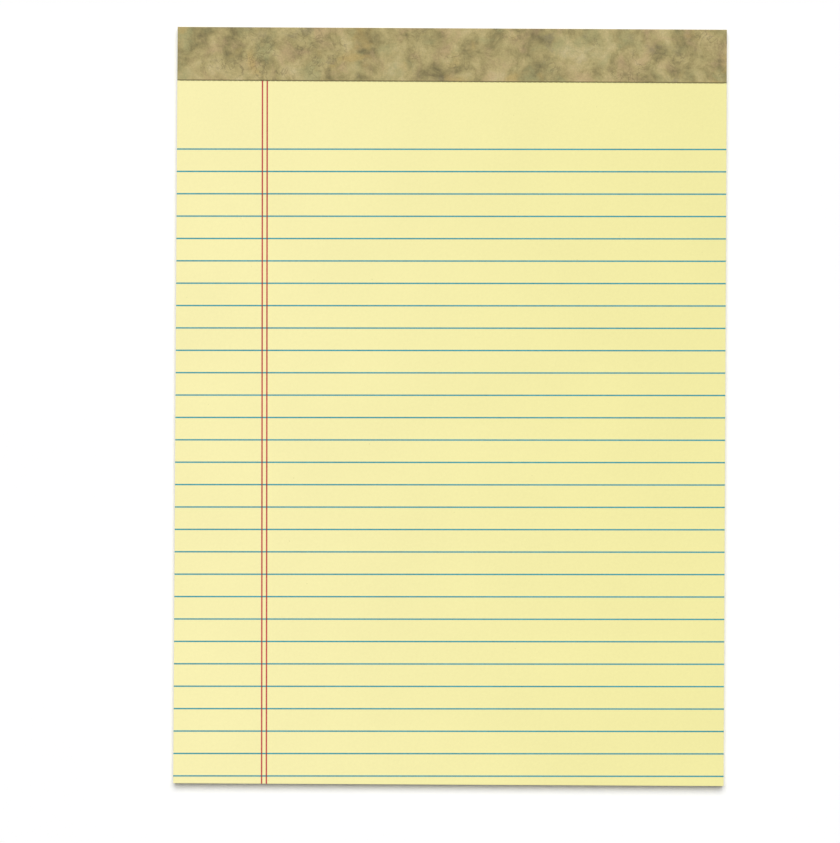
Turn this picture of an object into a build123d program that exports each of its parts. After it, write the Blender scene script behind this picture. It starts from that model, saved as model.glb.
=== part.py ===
"""A writing pad: ruled leaves on a stiff backing board, stitched with wire and bound along the top
edge with a folded paper tape. It lies on its back, with the ruled face up.

Millimetres. +X runs across the page, +Y towards the bound edge, +Z up out of the page. The origin is
the middle of the underside of the whole pad.
"""
import os

from build123d import *

# ---- the trimmed block: leaves on a board ----
pad_width = 215.9               # 8 1/2 in
pad_length = 296.9              # 11 11/16 in
leaf_count = 50
leaf_thickness = 0.09
board_thickness = 0.76          # 30-point chipboard

# ---- the binding tape, folded over the bound edge ----
tape_thickness = 0.15
tape_down_front = 20.9
tape_down_back = 23.0

# ---- the row of slits that a leaf tears off along ----
tear_line_below_tape = 0.15
slit_length = 1.6
slit_width = 0.1
tie_length = 0.5                # the paper left between two slits

# ---- the wire stitches under the tape ----
stitch_count = 3
stitch_spacing = 72.0
stitch_below_top = 9.5
wire_width = 0.6
wire_thickness = 0.45
crown_length = 12.7
clinch_length = 4.6
wire_bend_radius = 0.35         # on the inside of each bend

# ---- heights and places worked out from the sizes above ----
stack_thickness = leaf_count * leaf_thickness
block_thickness = board_thickness + stack_thickness
overall_thickness = block_thickness + 2 * tape_thickness
overall_length = pad_length + tape_thickness
board_underside = tape_thickness
board_top = board_underside + board_thickness
block_middle_height = overall_thickness / 2
bound_edge = overall_length / 2 - tape_thickness
block_centre = bound_edge - pad_length / 2
tear_line = bound_edge - tape_down_front - tear_line_below_tape
stitch_line = bound_edge - stitch_below_top
slit_pitch = slit_length + tie_length
slit_count = int(pad_width / slit_pitch)


def evenly_spaced(count, pitch):
    """Places along X, centred on the pad."""
    return [(n - (count - 1) / 2) * pitch for n in range(count)]


def block_outline():
    """The trimmed edge that the board and every leaf share, seen from above."""
    return Pos(0, block_centre) * Rectangle(pad_width, pad_length)


def stitch_loop(outer_corner):
    """Wire round the block, seen from the free end, open on the back between its two clinched ends."""
    inner = RectangleRounded(
        crown_length - 2 * wire_thickness, block_thickness - 2 * wire_thickness, wire_bend_radius
    )
    open_length = crown_length - 2 * clinch_length
    opening = Pos(0, -block_thickness / 2) * Rectangle(open_length, 2 * wire_thickness)
    return outer_corner - inner - opening


def at_every_stitch(loop):
    """The loop stood upright on the stitch line and given the wire's width, once for each stitch."""
    solids = []
    for x in evenly_spaced(stitch_count, stitch_spacing):
        upright = Plane((x, stitch_line, block_middle_height), x_dir=(1, 0, 0), z_dir=(0, -1, 0))
        solids.append(extrude(upright * loop, wire_width / 2, both=True))
    return solids


def staples():
    """Wire stitches: a crown flush with the top leaf, two legs, and ends clinched flush with the board."""
    bent = RectangleRounded(crown_length, block_thickness, wire_bend_radius + wire_thickness)
    return at_every_stitch(stitch_loop(bent))


def stitch_cuts():
    """What the wire has pressed and pierced out of the block, square where the wire bends."""
    return at_every_stitch(stitch_loop(Rectangle(crown_length, block_thickness)))


def perforation():
    """A row of narrow slits across the page, just clear of the tape."""
    slit = Rectangle(slit_length, slit_width)
    return [Pos(x, tear_line) * slit for x in evenly_spaced(slit_count, slit_pitch)]


def ruled_sheets():
    """The stack of leaves as one block, perforated right through and pierced by the stitches."""
    leaves = extrude(Pos(0, 0, board_top) * (block_outline() - perforation()), stack_thickness)
    return leaves - stitch_cuts()


def backing_board():
    """Stiff board, trimmed with the leaves, with the stitches' clinched ends pressed into its back."""
    board = extrude(Pos(0, 0, board_underside) * block_outline(), board_thickness)
    return board - stitch_cuts()


def binding_tape():
    """A strip folded round the bound edge: down the front, over the top edge and down the back."""
    wrap_length = tape_down_back + tape_thickness
    wrap = Rectangle(wrap_length, overall_thickness)
    folds = wrap.vertices().group_by(Axis.X)[-1]
    wrap = Pos((overall_length - wrap_length) / 2, block_middle_height) * fillet(folds, tape_thickness)
    block = Pos(block_centre, block_middle_height) * Rectangle(pad_length, block_thickness)
    front_below_flap = Pos(bound_edge - tape_down_front, block_middle_height) * Rectangle(
        pad_length, overall_thickness, align=(Align.MAX, Align.MIN)
    )
    section = wrap - block - front_below_flap
    return extrude(Plane.YZ * section, pad_width / 2, both=True)


def write(node, shape):
    """One STEP file for one node."""
    export_step(shape, f"parts/{node}.step")
    print(f"{node}: {len(shape.solids())} solid(s), {shape.volume:.1f} mm3")


os.makedirs("parts", exist_ok=True)
write("backing_board", backing_board())
write("ruled_sheets", ruled_sheets())
write("binding_tape", binding_tape())
write("staples", Compound(staples()))
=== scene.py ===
# %% [markdown]
# # A legal pad
# A pad is a simple thing: fifty ruled leaves on a stiff board, stitched through with wire and bound
# along the top with a folded paper tape. Its looks are in small things: the fine edges of the leaves,
# the thin printed lines, the tear-off slits and the mottled print of the tape. Each cell below makes
# one of them. The first opens the frame, which is the pad's construction at its real size, in metres.

# %% Open the frame
import math

import bmesh
import bpy
import numpy as np
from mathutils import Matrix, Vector


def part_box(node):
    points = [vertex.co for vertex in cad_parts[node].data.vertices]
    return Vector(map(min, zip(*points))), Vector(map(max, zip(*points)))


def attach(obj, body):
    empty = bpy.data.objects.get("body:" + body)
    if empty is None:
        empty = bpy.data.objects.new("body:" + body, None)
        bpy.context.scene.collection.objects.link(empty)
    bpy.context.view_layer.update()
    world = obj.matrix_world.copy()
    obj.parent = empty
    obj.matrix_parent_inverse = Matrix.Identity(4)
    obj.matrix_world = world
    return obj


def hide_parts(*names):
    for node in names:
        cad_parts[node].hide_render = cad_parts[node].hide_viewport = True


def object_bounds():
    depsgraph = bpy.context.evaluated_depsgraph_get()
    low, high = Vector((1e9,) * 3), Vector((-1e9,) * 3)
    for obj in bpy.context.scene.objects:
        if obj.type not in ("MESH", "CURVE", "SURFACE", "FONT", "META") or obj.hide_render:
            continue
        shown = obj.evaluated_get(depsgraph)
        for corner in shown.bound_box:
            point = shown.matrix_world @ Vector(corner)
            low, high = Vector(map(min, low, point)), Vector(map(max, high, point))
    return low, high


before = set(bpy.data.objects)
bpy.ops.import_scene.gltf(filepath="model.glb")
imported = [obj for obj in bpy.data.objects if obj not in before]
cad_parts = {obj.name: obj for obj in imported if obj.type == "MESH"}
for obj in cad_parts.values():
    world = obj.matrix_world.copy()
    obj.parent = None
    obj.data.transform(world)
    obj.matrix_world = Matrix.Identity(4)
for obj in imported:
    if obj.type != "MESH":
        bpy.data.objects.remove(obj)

cad_low, cad_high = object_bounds()
mm = 0.001
print("pad, in millimetres:", [round(side / mm, 2) for side in cad_high - cad_low])

# %% [markdown]
# ## Places taken from the frame
# The construction already says where every surface is. The stack's box gives the page and its edges,
# and the tape's box gives the fold. How far the tape comes down over the page, and how far below it
# the leaves tear, are not the side of any box, so they are given here.

# %% Measure the stack and the tape
stack_low, stack_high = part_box("ruled_sheets")
tape_low, tape_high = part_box("binding_tape")
page_width = stack_high.x - stack_low.x
page_top = stack_high.z
stack_thickness = stack_high.z - stack_low.z
free_edge = stack_low.y
bound_edge = stack_high.y
top_edge = tape_high.y
flap_on_page = 20.9 * mm
tear_below_flap = 0.15 * mm
flap_edge = bound_edge - flap_on_page
tear_line = flap_edge - tear_below_flap
print("the page is", round(page_width / mm, 1), "wide and lies", round(page_top / mm, 2), "above the table")

# %% [markdown]
# ## Helpers for node trees
# Shader trees and geometry trees are both made of nodes and links. `put` adds a node and fills its
# sockets: a number or a colour is set on the socket, and another node's output is linked to it.

# %% Put nodes in a tree


def put(tree, kind, inputs=None, **settings):
    """Add a node, set its options, then set or link its inputs, which are given by name or number."""
    made = tree.nodes.new(kind)
    for name, value in settings.items():
        setattr(made, name, value)
    for name, value in (inputs or {}).items():
        if isinstance(value, bpy.types.NodeSocket):
            tree.links.new(value, made.inputs[name])
        else:
            made.inputs[name].default_value = value
    return made


def reckon(tree, operation, *values):
    """The result of one Math node."""
    return put(tree, "ShaderNodeMath", dict(enumerate(values)), operation=operation).outputs[0]


def ease(tree, value, start, end, low=0.0, high=1.0):
    """A smooth step from low to high while value goes from start to end."""
    inputs = {"Value": value, "From Min": start, "From Max": end, "To Min": low, "To Max": high}
    return put(tree, "ShaderNodeMapRange", inputs, interpolation_type="SMOOTHSTEP").outputs["Result"]


def noise(tree, place, size, detail=2.0, roughness=0.5, distortion=0.0):
    """Noise between 0 and 1 whose waves are about size metres long."""
    inputs = {"Vector": place, "Scale": 1 / size, "Detail": detail, "Roughness": roughness}
    inputs["Distortion"] = distortion
    return put(tree, "ShaderNodeTexNoise", inputs).outputs[0]


# %% [markdown]
# ## Helpers for finishes
# Every finish starts from a Principled shader and from the piece's own coordinates. They are metres
# here, because each finished piece sits at the origin, so that grain and blotches can be given at
# their real size. Paper is never one colour: each finish starts from a base tone and varies it in
# steps, from broad clouds down to fibres.

# %% Start and vary a finish


def new_finish(name, roughness, specular):
    """A material with a Principled shader. Returns it with its tree, shader and coordinates."""
    finish = bpy.data.materials.new(name)
    finish.use_nodes = True
    tree = finish.node_tree
    shader = tree.nodes["Principled BSDF"]
    shader.inputs["Roughness"].default_value = roughness
    shader.inputs["Specular IOR Level"].default_value = specular
    return finish, tree, shader, put(tree, "ShaderNodeTexCoord").outputs["Object"]


def screen_colour(red, green, blue):
    """A colour as it looks on a screen, from 0 to 255, turned into the light that it stands for."""
    light = [((part / 255 + 0.055) / 1.055) ** 2.4 for part in (red, green, blue)]
    return (*light, 1.0)


def blend(tree, share, first, second):
    """The colour between two others, by a share from 0 to 1."""
    made = put(tree, "ShaderNodeMix", {0: share, 6: first, 7: second}, data_type="RGBA")
    return made.outputs[2]


def vary(tree, tone, height, low, high):
    """A tone made darker or lighter, from low to high, as a noise goes through its usual range."""
    inputs = {"Value": height, "From Min": 0.3, "From Max": 0.7, "To Min": low, "To Max": high}
    level = put(tree, "ShaderNodeMapRange", inputs).outputs["Result"]
    tone = tone if isinstance(tone, bpy.types.NodeSocket) else tone[:3]
    scaled = put(tree, "ShaderNodeVectorMath", {"Vector": tone, "Scale": level}, operation="SCALE")
    return scaled.outputs["Vector"]


def stretched(tree, place, along, across, turn):
    """Coordinates in which a fibre of that length and width, turned by that angle, is one unit each way."""
    turned = put(tree, "ShaderNodeMapping", {"Vector": place, "Rotation": (0, 0, math.radians(turn))})
    sizes = {"Vector": turned.outputs["Vector"], "Scale": (1 / along, 1 / across, 1 / across)}
    return put(tree, "ShaderNodeMapping", sizes).outputs["Vector"]


def fibres(tree, place, along, across, turn):
    """Long thin streaks between 0 and 1, as of fibres lying in a sheet."""
    return noise(tree, stretched(tree, place, along, across, turn), 1.0, 1.0)


def give_relief(tree, shader, height, depth):
    """Bump from a height between 0 and 1, with its depth in metres."""
    bump = put(tree, "ShaderNodeBump", {"Height": height, "Distance": depth, "Strength": 1.0})
    tree.links.new(bump.outputs["Normal"], shader.inputs["Normal"])


def paint(tree, shader, tone):
    tree.links.new(tone, shader.inputs["Base Color"])


# %% [markdown]
# ## The printed ruling
# The leaves are ruled before they are cut, so the print never lies quite square with the trimmed edges.
# Here it is turned by a quarter of a degree. These sizes come first because the paper's finish needs
# them too: ink reaches the cut edge of every leaf, and shows on the side of the stack as faint marks.

# %% Sizes of the ruling
rule_count = 29
rule_pitch = 8.79 * mm
first_rule = top_edge - 47.6 * mm
rule_width = 0.55 * mm
margin_centre = -73.0 * mm
margin_spacing = 1.87 * mm
margin_width = 0.58 * mm
print_skew = math.tan(math.radians(0.25))
ink_rise = 0.012 * mm
last_rule = first_rule - (rule_count - 1) * rule_pitch
print("the last rule is", round((last_rule - free_edge) / mm, 1), "mm from the free edge")

# %% [markdown]
# ## Yellow paper
# Writing paper is matte, with a soft mottle from its fibres. This one is made with recovered fibre, so
# a few darker flecks show. A painted light makes the page a little paler on its left and deeper yellow
# on its right. On the cut sides the tone varies in bands up the stack, mostly darker: partly each leaf's
# own tone, partly painted shade in the gaps between the leaves. The ends of the printed lines show as
# faint ticks, in the same place on every leaf.

# %% Canary paper


def flecks(tree, place, cell, radius, picked):
    """Small round flecks, 1 inside them, one to a cell, in the picked share of the cells."""
    cells = put(tree, "ShaderNodeTexVoronoi", {"Vector": place, "Scale": 1 / cell})
    inside = ease(tree, cells.outputs["Distance"], radius / cell, 0.5 * radius / cell)
    chance = put(tree, "ShaderNodeSeparateXYZ", {"Vector": cells.outputs["Color"]}).outputs["X"]
    return reckon(tree, "MULTIPLY", inside, reckon(tree, "LESS_THAN", chance, picked))


def near_rule(tree, parts, reach):
    """1 where a point lies within reach of one of the blue rules."""
    skewed = reckon(tree, "MULTIPLY_ADD", parts["X"], -print_skew, parts["Y"])
    steps = reckon(tree, "DIVIDE", reckon(tree, "SUBTRACT", skewed, first_rule), rule_pitch)
    off = reckon(tree, "ABSOLUTE", reckon(tree, "SUBTRACT", steps, reckon(tree, "ROUND", steps)))
    near = ease(tree, off, 1.3 * reach / rule_pitch, 0.7 * reach / rule_pitch)
    printed = reckon(tree, "LESS_THAN", steps, 0.5)
    return reckon(tree, "MULTIPLY", near, printed)


def near_margin(tree, parts, reach):
    """1 where a point lies within reach of either red margin line."""
    skewed = reckon(tree, "MULTIPLY_ADD", parts["Y"], print_skew, parts["X"])
    from_centre = reckon(tree, "ABSOLUTE", reckon(tree, "SUBTRACT", skewed, margin_centre))
    off = reckon(tree, "ABSOLUTE", reckon(tree, "SUBTRACT", from_centre, margin_spacing / 2))
    return ease(tree, off, 1.3 * reach, 0.7 * reach)


def canary_paper():
    finish, tree, shader, place = new_finish("canary_paper", 0.82, 0.25)
    parts = put(tree, "ShaderNodeSeparateXYZ", {"Vector": place}).outputs
    # Painted light: the page is a little paler on its left and deeper yellow on its right, as a light from
    # the left makes it.
    painted_light_drift = ease(tree, parts["X"], -0.6 * page_width, 0.6 * page_width)
    tone = blend(tree, painted_light_drift, screen_colour(248, 240, 177), screen_colour(242, 235, 163))
    tone = vary(tree, tone, noise(tree, place, 38 * mm, 3), 0.985, 1.01)
    tone = vary(tree, tone, noise(tree, place, 1.1 * mm, 4, 0.65), 0.985, 1.015)
    for turn in (12, 74, 131):
        tone = vary(tree, tone, fibres(tree, place, 2.2 * mm, 0.09 * mm, turn), 0.99, 1.01)
    spots = flecks(tree, place, 8 * mm, 0.32 * mm, 0.35)
    tone = blend(tree, reckon(tree, "MULTIPLY", spots, 0.35), tone, screen_colour(196, 190, 128))

    facing = put(tree, "ShaderNodeNewGeometry").outputs["Normal"]
    upward = put(tree, "ShaderNodeSeparateXYZ", {"Vector": facing}).outputs
    side = ease(tree, reckon(tree, "ABSOLUTE", upward["Z"]), 0.6, 0.4)
    # Partly painted shade: the cut sides go lighter and darker in fine bands up the stack, mostly darker,
    # for each leaf's own tone and for the shade in the gaps between the leaves.
    along, thick = 25 * mm, 0.16 * mm
    layers = put(tree, "ShaderNodeMapping", {"Vector": place, "Scale": (1 / along, 1 / along, 1 / thick)})
    cut_tone_and_shade = vary(tree, tone, noise(tree, layers.outputs["Vector"], 1.0, 3, 0.7), 0.84, 1.03)
    faces_side = ease(tree, reckon(tree, "ABSOLUTE", upward["X"]), 0.4, 0.6)
    faces_end = ease(tree, reckon(tree, "ABSOLUTE", upward["Y"]), 0.4, 0.6)
    broken = ease(tree, noise(tree, place, 0.5 * mm, 2), 0.35, 0.7, 0.1, 0.6)
    tick_reach = 0.45 * mm
    ticks = reckon(tree, "MULTIPLY", near_rule(tree, parts, tick_reach), broken)
    ticks = reckon(tree, "MULTIPLY", ticks, faces_side)
    cut_tone_and_shade = blend(tree, ticks, cut_tone_and_shade, screen_colour(120, 175, 165))
    ticks = reckon(tree, "MULTIPLY", near_margin(tree, parts, tick_reach), broken)
    ticks = reckon(tree, "MULTIPLY", ticks, faces_end)
    cut_tone_and_shade = blend(tree, ticks, cut_tone_and_shade, screen_colour(214, 130, 110))

    paint(tree, shader, blend(tree, side, tone, cut_tone_and_shade))
    grain = reckon(tree, "ADD", noise(tree, place, 0.35 * mm, 4, 0.6), noise(tree, place, 4 * mm, 2))
    give_relief(tree, shader, grain, 0.012 * mm)
    return finish


canary = canary_paper()
print("made", canary.name, "with", len(canary.node_tree.nodes), "nodes")

# %% [markdown]
# ## Two inks
# A ruling ink sits on the fibres and takes their unevenness, so each line is a little lighter and
# darker along its length. Where the red margin crosses a blue rule the two inks lie on each other and
# go dark. Each ink is its own finish, because the lines are made as pieces of their own.

# %% Blue and red ruling ink


def ruling_ink(name, deep, pale):
    """An ink that varies between two tones as it goes over the fibres."""
    finish, tree, shader, place = new_finish(name, 0.7, 0.3)
    parts = put(tree, "ShaderNodeSeparateXYZ", {"Vector": place}).outputs
    cover = ease(tree, noise(tree, place, 0.8 * mm, 4, 0.7), 0.25, 0.75)
    tone = blend(tree, cover, screen_colour(*deep), screen_colour(*pale))
    tone = vary(tree, tone, noise(tree, place, 30 * mm, 2), 0.93, 1.07)
    give_relief(tree, shader, noise(tree, place, 0.35 * mm, 4, 0.6), 0.008 * mm)
    return finish, tree, shader, parts, tone


blue_ink, tree, shader, parts, tone = ruling_ink("blue_ink", (30, 136, 150), (60, 160, 172))
paint(tree, shader, tone)
red_ink, tree, shader, parts, tone = ruling_ink("red_ink", (178, 60, 60), (196, 84, 80))
paint(tree, shader, blend(tree, near_rule(tree, parts, rule_width / 2), tone, screen_colour(118, 66, 60)))
print("made", blue_ink.name, "and", red_ink.name)

# %% [markdown]
# ## Mottled tape
# The binding tape is a printed paper in tan, olive and rose-brown, like a stone or a stained leaf. The
# print is made of soft fields of colour: a broad mottle through six tones, a hue that wanders between
# green and rose, a few ochre patches, thin dark creases and a fine grain. Nothing in it is lettering.
# The cut edges show the plain paper, so they have a finish of their own.

# %% Mottled tape paper and its cut edge


def tone_ramp(tree, height, stops):
    """Colours along a height, given as (height, colour) stops."""
    ramp = put(tree, "ShaderNodeValToRGB", {"Fac": height})
    colours = ramp.color_ramp.elements
    while len(colours) < len(stops):
        colours.new(0.5)
    for element, (at, shade) in zip(colours, stops):
        element.position = at
        element.color = screen_colour(*shade)
    return ramp.outputs["Color"]


def creases(tree, place, size, width):
    """Thin wandering lines, 1 on them, where a noise passes through its middle value."""
    off = reckon(tree, "ABSOLUTE", reckon(tree, "SUBTRACT", noise(tree, place, size, 4, 0.55, 0.6), 0.5))
    return ease(tree, off, width, 0.0)


def mottled_tape():
    finish, tree, shader, place = new_finish("mottled_tape_paper", 0.62, 0.35)
    parts = put(tree, "ShaderNodeSeparateXYZ", {"Vector": place}).outputs
    mottle = noise(tree, place, 9 * mm, 7, 0.62, 0.35)
    tone = tone_ramp(tree, mottle, [
        (0.30, (104, 94, 54)), (0.40, (136, 124, 76)), (0.47, (156, 142, 90)),
        (0.54, (172, 157, 103)), (0.62, (184, 168, 116)), (0.74, (194, 179, 132)),
    ])
    hue = noise(tree, place, 12 * mm, 4, 0.6, 0.5)
    tone = blend(tree, ease(tree, hue, 0.5, 0.3, 0.0, 0.55), tone, screen_colour(152, 150, 100))
    tone = blend(tree, ease(tree, hue, 0.5, 0.7, 0.0, 0.5), tone, screen_colour(184, 156, 114))
    ochre = noise(tree, stretched(tree, place, 1.0, 1.0, 40), 14 * mm, 3, 0.5, 0.3)
    tone = blend(tree, ease(tree, ochre, 0.6, 0.72, 0.0, 0.5), tone, screen_colour(178, 150, 84))
    ash = noise(tree, stretched(tree, place, 1.0, 1.0, 115), 11 * mm, 4, 0.6, 0.3)
    tone = blend(tree, ease(tree, ash, 0.58, 0.74, 0.0, 0.55), tone, screen_colour(118, 108, 82))
    some = ease(tree, noise(tree, stretched(tree, place, 1.0, 1.0, 70), 16 * mm, 2), 0.48, 0.66, 0.0, 0.5)
    lines = reckon(tree, "MULTIPLY", creases(tree, place, 6 * mm, 0.03), some)
    tone = blend(tree, lines, tone, screen_colour(104, 92, 58))
    tone = vary(tree, tone, noise(tree, place, 0.7 * mm, 4, 0.7), 0.84, 1.12)
    # Painted shadow: a dark line along the lower edge of the front flap, where the tape's edge meets the
    # page.
    from_edge = reckon(tree, "SUBTRACT", parts["Y"], flap_edge)
    in_front = ease(tree, parts["Z"], page_top - 0.1 * mm, page_top)
    painted_edge_shadow = reckon(tree, "MULTIPLY", ease(tree, from_edge, 0.5 * mm, 0.2 * mm, 0.0, 0.9), in_front)
    tone = blend(tree, painted_edge_shadow, tone, screen_colour(84, 78, 36))
    paint(tree, shader, tone)
    grain = reckon(tree, "ADD", noise(tree, place, 0.5 * mm, 4, 0.6), noise(tree, place, 5 * mm, 2))
    give_relief(tree, shader, grain, 0.014 * mm)
    return finish


def tape_cut_edge():
    finish, tree, shader, place = new_finish("tape_cut_edge", 0.85, 0.2)
    dark, pale = screen_colour(150, 140, 108), screen_colour(206, 196, 168)
    tone = blend(tree, noise(tree, place, 0.4 * mm, 3), dark, pale)
    paint(tree, shader, tone)
    give_relief(tree, shader, noise(tree, place, 0.1 * mm, 2), 0.01 * mm)
    return finish


tape_print = mottled_tape()
tape_edge = tape_cut_edge()
print("made", tape_print.name, "and", tape_edge.name)

# %% [markdown]
# ## Chipboard and wire
# Chipboard is pressed from waste paper: a warm grey with short fibres both lighter and darker, flecks of
# old print, and a surface like felt. The wire is galvanized, with drawn lines along it. It is hidden
# under the tape, but a person who lifts the tape should find wire.

# %% Chipboard and stitching wire


def chipboard():
    finish, tree, shader, place = new_finish("chipboard", 0.9, 0.2)
    tone = tone_ramp(tree, noise(tree, place, 6 * mm, 6, 0.65), [
        (0.3, (138, 128, 110)), (0.5, (158, 147, 126)), (0.7, (172, 161, 140)),
    ])
    for turn in (8, 55, 97, 148):
        tone = vary(tree, tone, fibres(tree, place, 3.0 * mm, 0.14 * mm, turn), 0.93, 1.07)
    dark = flecks(tree, place, 5 * mm, 0.5 * mm, 0.5)
    tone = blend(tree, reckon(tree, "MULTIPLY", dark, 0.55), tone, screen_colour(84, 80, 76))
    pale = flecks(tree, stretched(tree, place, 1.0, 1.0, 33), 6 * mm, 0.6 * mm, 0.4)
    tone = blend(tree, reckon(tree, "MULTIPLY", pale, 0.5), tone, screen_colour(214, 208, 192))
    tone = vary(tree, tone, noise(tree, place, 0.4 * mm, 3, 0.7), 0.93, 1.07)
    paint(tree, shader, tone)
    lying = fibres(tree, place, 3.0 * mm, 0.2 * mm, 20)
    felt = reckon(tree, "ADD", noise(tree, place, 0.6 * mm, 4, 0.65), lying)
    give_relief(tree, shader, felt, 0.03 * mm)
    return finish


def stitching_wire():
    finish, tree, shader, place = new_finish("stitching_wire", 0.38, 0.5)
    shader.inputs["Metallic"].default_value = 1.0
    drawn = fibres(tree, place, 4.0 * mm, 0.04 * mm, 0)
    tone = vary(tree, screen_colour(196, 196, 192), drawn, 0.85, 1.05)
    paint(tree, shader, tone)
    give_relief(tree, shader, drawn, 0.004 * mm)
    return finish


board_finish = chipboard()
wire_finish = stitching_wire()
print("made", board_finish.name, "and", wire_finish.name)

# %% [markdown]
# ## Helpers for geometry trees
# What repeats is made by Geometry Nodes: the leaves of the stack, the rules and the margin lines. A
# tree has named inputs for its sizes. `grow` sets them on a modifier by each
# socket's identifier, takes the evaluated result as a plain mesh, and drops the object that carried
# the modifier, so that nothing live is left on the piece.

# %% Make a tree and grow a piece from it


def shape_tree(name, inputs):
    """A geometry tree with a Geometry input, more inputs by name and kind, and a Geometry output."""
    tree = bpy.data.node_groups.new(name, "GeometryNodeTree")
    tree.interface.new_socket("Geometry", in_out="INPUT", socket_type="NodeSocketGeometry")
    for label, kind in inputs.items():
        tree.interface.new_socket(label, in_out="INPUT", socket_type="NodeSocket" + kind)
    tree.interface.new_socket("Geometry", in_out="OUTPUT", socket_type="NodeSocketGeometry")
    return tree, put(tree, "NodeGroupInput").outputs


def end_tree(tree, shape, finish):
    """The last nodes: instances made real, the finish set, and the group's output."""
    real = put(tree, "GeometryNodeRealizeInstances", {"Geometry": shape}).outputs[0]
    painted = put(tree, "GeometryNodeSetMaterial", {"Geometry": real, "Material": finish}).outputs[0]
    put(tree, "NodeGroupOutput", {"Geometry": painted})


def grow(name, start, tree, values):
    """A piece made by the tree from a starting mesh and the values for its inputs."""
    carrier = bpy.data.objects.new(name + "_carrier", start)
    bpy.context.scene.collection.objects.link(carrier)
    modifier = carrier.modifiers.new(name, "NODES")
    modifier.node_group = tree
    sockets = {item.name: item.identifier for item in tree.interface.items_tree if item.in_out == "INPUT"}
    for label, value in values.items():
        modifier[sockets[label]] = value
    seen = carrier.evaluated_get(bpy.context.evaluated_depsgraph_get())
    mesh = bpy.data.meshes.new_from_object(seen)
    bpy.data.objects.remove(carrier)
    piece = bpy.data.objects.new(name, mesh)
    bpy.context.scene.collection.objects.link(piece)
    low = [round(min(v.co[axis] for v in mesh.vertices) / mm, 3) for axis in range(3)]
    high = [round(max(v.co[axis] for v in mesh.vertices) / mm, 3) for axis in range(3)]
    print(name, "has", len(mesh.polygons), "faces, from", low, "to", high)
    return piece


# %% [markdown]
# ## How the page lies
# The tape holds the leaves hard together. Away from it they lie a little loose, so the page rises and
# sinks by a few hundredths of a millimetre in waves as long as a hand. Everything on the page has to
# rise with it, so the wave is one node group, used by the tree of the leaves and by those of the lines.
# It reads only the place of a point: how far it is from the tape, and how high in the stack.

# %% The lift of the leaves
lift_height = 0.1 * mm
lift_wave = 120 * mm
lift_starts = 60 * mm

page_lift = bpy.data.node_groups.new("page_lift", "GeometryNodeTree")
page_lift.interface.new_socket("Lift", in_out="OUTPUT", socket_type="NodeSocketVector")
where = put(page_lift, "GeometryNodeInputPosition").outputs["Position"]
parts = put(page_lift, "ShaderNodeSeparateXYZ", {"Vector": where}).outputs
flat = put(page_lift, "ShaderNodeCombineXYZ", {"X": parts["X"], "Y": parts["Y"]}).outputs["Vector"]
wave = reckon(page_lift, "SUBTRACT", noise(page_lift, flat, lift_wave, 1.0), 0.5)
loose = ease(page_lift, parts["Y"], tear_line, tear_line - lift_starts)
share = ease(page_lift, parts["Z"], stack_low.z, page_top)
amount = reckon(page_lift, "MULTIPLY", reckon(page_lift, "MULTIPLY", wave, loose), share)
amount = reckon(page_lift, "MULTIPLY", amount, 2 * lift_height)
lift = put(page_lift, "ShaderNodeCombineXYZ", {"Z": amount}).outputs["Vector"]
put(page_lift, "NodeGroupOutput", {"Lift": lift})
print("the page may rise or sink by up to", lift_height / mm, "mm")


def lifted(tree, shape):
    """The shape with every point raised as the page is raised there."""
    rise = put(tree, "GeometryNodeGroup", node_tree=page_lift).outputs["Lift"]
    return put(tree, "GeometryNodeSetPosition", {"Geometry": shape, "Offset": rise}).outputs["Geometry"]


# %% [markdown]
# ## One leaf
# A leaf is a thin sheet with a row of narrow slits just below the tape, which it tears along. It is
# drawn as flat faces, with the slits left out, and then raised to its thickness. Slits are cut only in
# the leaves that can be looked into. The rest of the stack needs no more than its edges.

# %% Draw a leaf
leaf_count = 50
leaf_pitch = stack_thickness / leaf_count
air = 0.05 * leaf_pitch
slit_pitch = 2.1 * mm
slit_length = 1.6 * mm
slit_width = 0.1 * mm
slit_count = int(page_width / slit_pitch)
stray = 0.05 * mm


def thickened(flat, thickness):
    """Flat faces raised into a closed solid, and handed over as a mesh."""
    grown = bmesh.ops.extrude_face_region(flat, geom=flat.faces[:])
    raised = [part for part in grown["geom"] if isinstance(part, bmesh.types.BMVert)]
    bmesh.ops.translate(flat, verts=raised, vec=(0, 0, thickness))
    bmesh.ops.recalc_face_normals(flat, faces=flat.faces[:])
    mesh = bpy.data.meshes.new("flat_stock")
    flat.to_mesh(mesh)
    flat.free()
    return mesh


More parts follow.
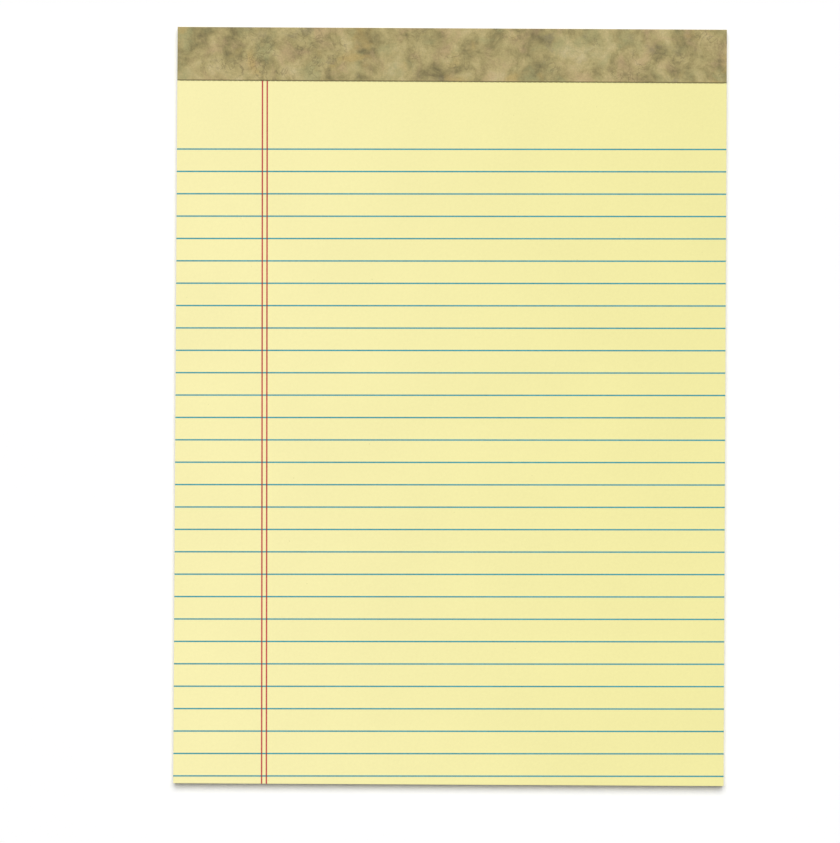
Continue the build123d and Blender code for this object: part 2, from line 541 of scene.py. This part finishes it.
def draw_leaf(slits_in_column, row_length, with_slits, trimmed_by):
    """A leaf lying on z = 0, with its slits, as a grid whose lines pass between the slits."""
    half = page_width / 2 - trimmed_by
    tear_low, tear_high = tear_line - slit_width / 2, tear_line + slit_width / 2
    slit_starts = (np.arange(slit_count) - slit_count / 2) * slit_pitch + (slit_pitch - slit_length) / 2
    inner_columns = (np.arange(slits_in_column, slit_count, slits_in_column) - slit_count / 2) * slit_pitch
    columns = [-half, *inner_columns, half]
    slit_ends = [*slit_starts, *(slit_starts + slit_length)] if with_slits else []
    on_tear_line = sorted([*columns, *slit_ends])
    below = np.linspace(free_edge + trimmed_by, tear_low, 1 + round((tear_low - free_edge) / row_length))
    above = np.linspace(tear_high, bound_edge - trimmed_by, 4)
    sheet = bmesh.new()
    corners = {}

    def corner(x, y):
        key = (round(x / mm, 4), round(y / mm, 4))
        if key not in corners:
            corners[key] = sheet.verts.new((x, y, 0))
        return corners[key]

    def cell(left, right, low, high):
        """One face, with a corner at every slit's end where it lies on the tear line."""
        bottom = [x for x in on_tear_line if left < x < right] if low == tear_high else []
        top = [x for x in on_tear_line if left < x < right] if high == tear_low else []
        lower = [corner(x, low) for x in (left, *bottom, right)]
        upper = [corner(x, high) for x in (right, *reversed(top), left)]
        sheet.faces.new(lower + upper)

    for rows in (below, above):
        for low, high in zip(rows[:-1], rows[1:]):
            for left, right in zip(columns[:-1], columns[1:]):
                cell(left, right, low, high)
    for left, right in zip(on_tear_line[:-1], on_tear_line[1:]):
        middle = (left + right) / 2
        if not (with_slits and any(start < middle < start + slit_length for start in slit_starts)):
            low_corners = [corner(left, tear_low), corner(right, tear_low)]
            high_corners = [corner(right, tear_high), corner(left, tear_high)]
            sheet.faces.new(low_corners + high_corners)
    return thickened(sheet, leaf_pitch - air)


perforated_leaf = draw_leaf(6, 13 * mm, True, stray)
plain_leaf = draw_leaf(6, 13 * mm, False, stray)
print("a perforated leaf has", len(perforated_leaf.polygons), "faces, a plain one", len(plain_leaf.polygons))

# %% [markdown]
# ## The stack
# The tree lays one leaf on another. Each goes down a little out of line, by a slow wander up the stack,
# as the guillotine's blade draws, and by a small chance of its own. It is these few hundredths of a
# millimetre that make the side of a pad look like paper and not like a block.

# %% Stack the leaves
stack_tree, given = shape_tree("stack_of_leaves", {
    "Leaves": "Int", "Height": "Float", "Pitch": "Float", "Stray": "Float", "Seed": "Int",
})
start = put(stack_tree, "ShaderNodeCombineXYZ", {"Z": given["Height"]}).outputs["Vector"]
step = put(stack_tree, "ShaderNodeCombineXYZ", {"Z": given["Pitch"]}).outputs["Vector"]
places = put(
    stack_tree, "GeometryNodeMeshLine", {"Count": given["Leaves"], "Start Location": start, "Offset": step},
    mode="OFFSET", count_mode="TOTAL",
).outputs["Mesh"]
leaves = put(stack_tree, "GeometryNodeInstanceOnPoints", {"Points": places, "Instance": given["Geometry"]})
height = put(stack_tree, "GeometryNodeInputPosition").outputs["Position"]
wander_wave = 1.1 * mm
own_share = 0.4
wander = put(stack_tree, "ShaderNodeTexNoise", {"Vector": height, "Scale": 1 / wander_wave, "Detail": 3.0})
own = put(
    stack_tree, "FunctionNodeRandomValue", {0: (-own_share,) * 3, 1: (own_share,) * 3, 8: given["Seed"]},
    data_type="FLOAT_VECTOR",
)


def vectors(operation, first, second):
    """The result of one Vector Math node in the stack's tree."""
    second_socket = "Scale" if operation == "SCALE" else 1
    inputs = {0: first, second_socket: second}
    return put(stack_tree, "ShaderNodeVectorMath", inputs, operation=operation).outputs["Vector"]


out = vectors("SUBTRACT", wander.outputs["Color"], (0.5, 0.5, 0.5))
out = vectors("ADD", out, own.outputs[0])
out = vectors("SCALE", out, given["Stray"])
out = vectors("MULTIPLY", out, (1, 1, 0))
shifted = put(
    stack_tree, "GeometryNodeTranslateInstances",
    {"Instances": leaves.outputs["Instances"], "Translation": out},
)
real = put(stack_tree, "GeometryNodeRealizeInstances", {"Geometry": shifted.outputs["Instances"]})
end_tree(stack_tree, lifted(stack_tree, real.outputs["Geometry"]), canary)

lookable = 9
lower_leaves = grow("lower_leaves", plain_leaf, stack_tree, {
    "Leaves": leaf_count - lookable, "Height": stack_low.z + air, "Pitch": leaf_pitch,
    "Stray": stray, "Seed": 3,
})
upper_leaves = grow("upper_leaves", perforated_leaf, stack_tree, {
    "Leaves": lookable - 1, "Height": page_top - lookable * leaf_pitch + air, "Pitch": leaf_pitch,
    "Stray": stray, "Seed": 8,
})
top_leaf = grow("top_leaf", draw_leaf(3, 6 * mm, True, 0.0), stack_tree, {
    "Leaves": 1, "Height": page_top - leaf_pitch + air, "Pitch": leaf_pitch, "Stray": 0.0, "Seed": 1,
})

# %% [markdown]
# ## Rules and margin lines
# A printed line has no thickness worth speaking of. It could be painted by the paper's finish, but a
# line half a millimetre wide would then be only as sharp as the finish's picture when the pad is used
# elsewhere. So each line is a very thin strip, half sunk in the page, that follows the page's wave. One
# tree serves both: it repeats a strip at a pitch, slants the set by the print's skew, and lifts it.

# %% Lay the lines on the page
line_tree, given = shape_tree("printed_lines", {
    "Lines": "Int", "First": "Vector", "Pitch": "Vector",
    "Slant X": "Float", "Slant Y": "Float", "Ink": "Material",
})
places = put(
    line_tree, "GeometryNodeMeshLine",
    {"Count": given["Lines"], "Start Location": given["First"], "Offset": given["Pitch"]},
    mode="OFFSET", count_mode="TOTAL",
).outputs["Mesh"]
lines = put(line_tree, "GeometryNodeInstanceOnPoints", {"Points": places, "Instance": given["Geometry"]})
real = put(line_tree, "GeometryNodeRealizeInstances", {"Geometry": lines.outputs["Instances"]})
at = put(line_tree, "GeometryNodeInputPosition").outputs["Position"]
parts = put(line_tree, "ShaderNodeSeparateXYZ", {"Vector": at}).outputs
slant = put(line_tree, "ShaderNodeCombineXYZ", {
    "X": reckon(line_tree, "MULTIPLY", parts["Y"], given["Slant X"]),
    "Y": reckon(line_tree, "MULTIPLY", parts["X"], given["Slant Y"]),
}).outputs["Vector"]
slanted = put(line_tree, "GeometryNodeSetPosition", {"Geometry": real.outputs["Geometry"], "Offset": slant})
end_tree(line_tree, lifted(line_tree, slanted.outputs["Geometry"]), given["Ink"])


def draw_strip(start, end, width, rise, pieces):
    """A strip between two points, as a closed bar that reaches as far above z = 0 as below it."""
    strip = bmesh.new()
    along = Vector(end) - Vector(start)
    aside = Vector((-along.y, along.x, 0)).normalized() * width / 2
    pairs = []
    for n in range(pieces + 1):
        middle = Vector(start) + along * n / pieces
        pairs.append((strip.verts.new(middle - aside), strip.verts.new(middle + aside)))
    for (right, left), (next_right, next_left) in zip(pairs[:-1], pairs[1:]):
        strip.faces.new((right, next_right, next_left, left))
    bmesh.ops.translate(strip, verts=strip.verts[:], vec=(0, 0, -rise))
    return thickened(strip, 2 * rise)


rule = draw_strip((-page_width / 2, 0, 0), (page_width / 2, 0, 0), rule_width, ink_rise, 36)
blue_rules = grow("blue_rules", rule, line_tree, {
    "Lines": rule_count, "First": (0, first_rule, page_top), "Pitch": (0, -rule_pitch, 0),
    "Slant X": 0.0, "Slant Y": print_skew, "Ink": blue_ink,
})
margin = draw_strip((0, free_edge, 0), (0, flap_edge, 0), margin_width, 1.5 * ink_rise, 48)
red_margin = grow("red_margin", margin, line_tree, {
    "Lines": 2, "First": (margin_centre - margin_spacing / 2, 0, page_top), "Pitch": (margin_spacing, 0, 0),
    "Slant X": -print_skew, "Slant Y": 0.0, "Ink": red_ink,
})

# %% [markdown]
# ## The binding tape
# The tape is one strip of paper folded over the top edge, so its section is a closed outline carried
# along the width of the pad. Paper glued over wire shows the wire, so the outline rises a little where
# it passes over a stitch. The columns are a millimetre apart, which is fine enough for that ridge.

# %% Fold the tape round the top edge
tape_paper = 0.11 * mm
ridge = tape_high.z - page_top - tape_paper
wire_low, wire_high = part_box("staples")
stitch_line = (wire_low.y + wire_high.y) / 2
stitch_centres = (-72 * mm, 0.0, 72 * mm)
half_crown = 12.7 / 2 * mm
ridge_reach = 0.9 * mm
fold = tape_high.y - bound_edge
tape_back = wire_low.z - tape_low.z
quarter_turn = [math.radians(angle) for angle in (90, 67.5, 45, 22.5, 0)]
back_to_front = list(reversed(quarter_turn))


def ridge_at(x, y):
    """How far the tape is raised by the nearest stitch."""
    aside = min(max(abs(x - centre) - half_crown, 0.0) for centre in stitch_centres)
    near = max(0.0, 1 - math.hypot(aside, y - stitch_line) / ridge_reach)
    return ridge * near * near * (3 - 2 * near)


def flap_places(end):
    """Places across a flap from its end to the fold, closer together over the stitches."""
    even = np.arange(end, bound_edge, 1.0 * mm)
    close = np.linspace(stitch_line - 1.2 * mm, stitch_line + 1.2 * mm, 13)
    return sorted({round(float(y), 7) for y in (*even, *close)})


def tape_section(x):
    """The tape's closed outline at one place along the pad, as (y, z) pairs."""
    front = [(y, page_top + tape_paper + ridge_at(x, y)) for y in flap_places(flap_edge)]
    top_fold = [
        (bound_edge + fold * math.cos(a), page_top + tape_paper * math.sin(a)) for a in quarter_turn
    ]
    spine = [(bound_edge + fold, float(z)) for z in np.linspace(page_top, wire_low.z, 7)[1:-1]]
    low_fold = [
        (bound_edge + fold * math.cos(a), wire_low.z - tape_back * math.sin(a)) for a in back_to_front
    ]
    back = [(y, tape_low.z) for y in reversed(flap_places(tape_low.y))]
    inside_back = [(tape_low.y, wire_low.z), (bound_edge, wire_low.z)]
    inside_front = [(bound_edge, page_top), (flap_edge, page_top)]
    return [*front, *top_fold, *spine, *low_fold, *back, *inside_back, *inside_front]


def fold_tape():
    """Carry the outline along the pad, close both ends, and give the cut faces their own finish."""
    tape = bmesh.new()
    places = np.linspace(-page_width / 2, page_width / 2, 1 + round(page_width / mm))
    rings = [[tape.verts.new((float(x), y, z)) for y, z in tape_section(float(x))] for x in places]
    count = len(rings[0])
    for ring, following in zip(rings[:-1], rings[1:]):
        for n in range(count):
            after = (n + 1) % count
            tape.faces.new((ring[n], ring[after], following[after], following[n]))
    tape.faces.new(rings[0])
    tape.faces.new(list(reversed(rings[-1])))
    bmesh.ops.recalc_face_normals(tape, faces=tape.faces[:])
    for face in tape.faces:
        face.smooth = True
        at_end = abs(face.normal.x) > 0.9
        at_flap = face.normal.y < -0.9
        face.material_index = 1 if at_end or at_flap else 0
    mesh = bpy.data.meshes.new("binding_tape_paper")
    tape.to_mesh(mesh)
    tape.free()
    mesh.set_sharp_from_angle(angle=math.radians(40))
    mesh.materials.append(tape_print)
    mesh.materials.append(tape_edge)
    piece = bpy.data.objects.new("folded_tape", mesh)
    bpy.context.scene.collection.objects.link(piece)
    return piece


folded_tape = fold_tape()
print("the tape has", len(folded_tape.data.polygons), "faces")
print("it rises", round(ridge / mm, 3), "mm over a stitch")

# %% [markdown]
# ## The board and the stitches
# The board is die-cut, which leaves its edges very slightly rounded. It is made from the construction's
# own board: the shared corners are joined and then softened. The stitches are right as they are, and
# only get their finish.

# %% Soften the board and finish the wire
edge_softness = 0.09 * mm


def merged_copy(name, node):
    """The node's mesh as a new piece at the origin, with corners that lie on each other made one."""
    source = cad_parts[node]
    sheet = bmesh.new()
    sheet.from_mesh(source.data)
    sheet.transform(source.matrix_world)
    bmesh.ops.remove_doubles(sheet, verts=sheet.verts[:], dist=0.002 * mm)
    bmesh.ops.dissolve_limit(sheet, angle_limit=math.radians(1), verts=sheet.verts[:], edges=sheet.edges[:])
    bmesh.ops.bevel(
        sheet, geom=sheet.edges[:], offset=edge_softness, segments=2, affect="EDGES", clamp_overlap=True
    )
    mesh = bpy.data.meshes.new(name)
    sheet.to_mesh(mesh)
    sheet.free()
    piece = bpy.data.objects.new(name, mesh)
    bpy.context.scene.collection.objects.link(piece)
    return piece


stiff_board = merged_copy("stiff_board", "backing_board")
stiff_board.data.materials.append(board_finish)
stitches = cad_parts["staples"]
for slot in stitches.material_slots:
    slot.material = wire_finish
print("the board has", len(stiff_board.data.polygons), "faces")

# %% [markdown]
# ## Attach the pieces
# Paper does not move on its own, so every piece rides the one body. The part of the construction that each
# piece stands for is hidden.

# %% Attach each piece and hide the part it stands for
for piece, node, wears in (
    (lower_leaves, "ruled_sheets", "canary_paper"),
    (upper_leaves, "ruled_sheets", "canary_paper"),
    (top_leaf, "ruled_sheets", "canary_paper"),
    (blue_rules, "ruled_sheets", "blue_ink"),
    (red_margin, "ruled_sheets", "red_ink"),
    (folded_tape, "binding_tape", "mottled_tape_paper"),
    (stiff_board, "backing_board", "chipboard"),
):
    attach(piece, "root")
    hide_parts(node)

# %% [markdown]
# ## Table and light
# A pale table carries the shadow. One broad soft light stands high toward the bound edge, so the shadow
# falls beyond the free edge, and an even pale sky fills the rest.

# %% Lay the table and hang the light


def pale_table():
    finish, tree, shader, place = new_finish("pale_table", 0.95, 0.1)
    clouds = noise(tree, place, 90 * mm, 2)
    paint(tree, shader, vary(tree, screen_colour(247, 247, 247), clouds, 0.997, 1.003))
    seen = put(tree, "ShaderNodeLightPath").outputs
    direct = reckon(tree, "MAXIMUM", seen["Is Camera Ray"], seen["Is Glossy Ray"])
    shader.inputs["Emission Color"].default_value = (1.0, 1.0, 1.0, 1.0)
    own_light = 0.07
    tree.links.new(reckon(tree, "MULTIPLY", direct, own_light), shader.inputs["Emission Strength"])
    return finish


table_mesh = bpy.data.meshes.new("table")
reach = 3.0
table_z = cad_low.z - 0.05 * mm
table_mesh.from_pydata(
    [(-reach, -reach, table_z), (reach, -reach, table_z), (reach, reach, table_z), (-reach, reach, table_z)],
    [], [(0, 1, 2, 3)],
)
table_mesh.materials.append(pale_table())
table = bpy.data.objects.new("table", table_mesh)
bpy.context.scene.collection.objects.link(table)

lamp = bpy.data.lights.new("high_window", "SUN")
lamp_tilt = math.radians(-21)
lamp.energy = 2.97
lamp.angle = math.radians(38)
lamp_object = bpy.data.objects.new("high_window", lamp)
lamp_object.rotation_euler = (lamp_tilt, 0, 0)
bpy.context.scene.collection.objects.link(lamp_object)

world = bpy.data.worlds.new("pale_sky")
world.use_nodes = True
bpy.context.scene.world = world
sky = world.node_tree
background = next(n for n in sky.nodes if n.type == "BACKGROUND")
seen = put(sky, "ShaderNodeLightPath").outputs
direct = reckon(sky, "MAXIMUM", seen["Is Camera Ray"], seen["Is Glossy Ray"])
direct = reckon(sky, "MAXIMUM", direct, seen["Is Transmission Ray"])
level = put(sky, "ShaderNodeMapRange", {"Value": direct, "To Min": 0.12, "To Max": 1.0}).outputs["Result"]
background.inputs["Color"].default_value = (1.0, 1.0, 1.0, 1.0)
sky.links.new(level, background.inputs["Strength"])
print("the table lies", round((cad_low.z - table_z) / mm, 3), "mm under the pad")

# %% [markdown]
# ## Camera
# The camera looks almost straight down from two metres, with a long lens, so that the page keeps its
# shape and only a trace of perspective is left. The pad stands a little to the right of the middle.

# %% Aim the camera
aim = Vector((-11.74 * mm, -6.13 * mm, page_top))
distance = 2.0
elevation = math.radians(89.2)
roll = math.radians(0.30)
picture_width = 329.85 * mm
view = bpy.data.cameras.new("from_above")
view.sensor_fit = "HORIZONTAL"
view.sensor_width = 36.0
view.lens = view.sensor_width * distance / picture_width
view.clip_end = 20.0
camera = bpy.data.objects.new("from_above", view)
camera.location = aim + distance * Vector((0, -math.cos(elevation), math.sin(elevation)))
camera.rotation_euler = (math.radians(90) - elevation, 0, roll)
bpy.context.scene.collection.objects.link(camera)
bpy.context.scene.camera = camera
bpy.context.scene.view_settings.view_transform = "Standard"

# %% [markdown]
# ## The size of the construction
# The finished pieces have to fill the same box as the construction, whose box is written down.

# %% Write the construction's box
bpy.context.view_layer.update()
print("construction", [round(v / mm, 2) for v in cad_high - cad_low])
